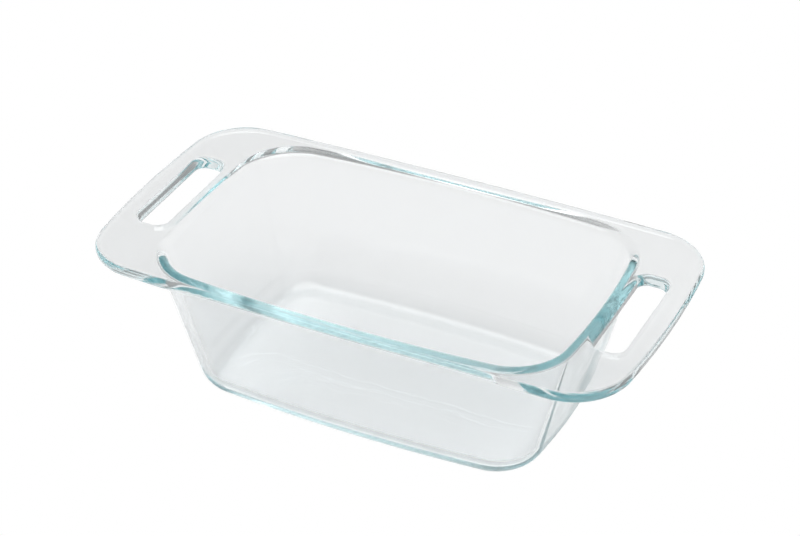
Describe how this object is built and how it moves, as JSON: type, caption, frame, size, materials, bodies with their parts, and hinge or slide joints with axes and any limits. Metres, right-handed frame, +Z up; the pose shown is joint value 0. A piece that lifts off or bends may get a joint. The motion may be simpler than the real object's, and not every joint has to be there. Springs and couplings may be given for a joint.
{
  "type": "loaf pan",
  "caption": "Clear pressed-glass loaf pan: deep tapered tray with rounded corners, flat flange rim and a slotted handle at each short end.",
  "frame": {"origin": "centre of the flat underside of the base", "axes": "+Z up out of the opening, +X along the dish from one handle to the other, +Y across it"},
  "size_m": [0.286, 0.1496, 0.0785],
  "materials": {
    "clear_glass": "clear, polished, faint teal edges"
  },
  "bodies": {
    "root": {"loaf_dish": "clear_glass"}
  },
  "joints": []
}
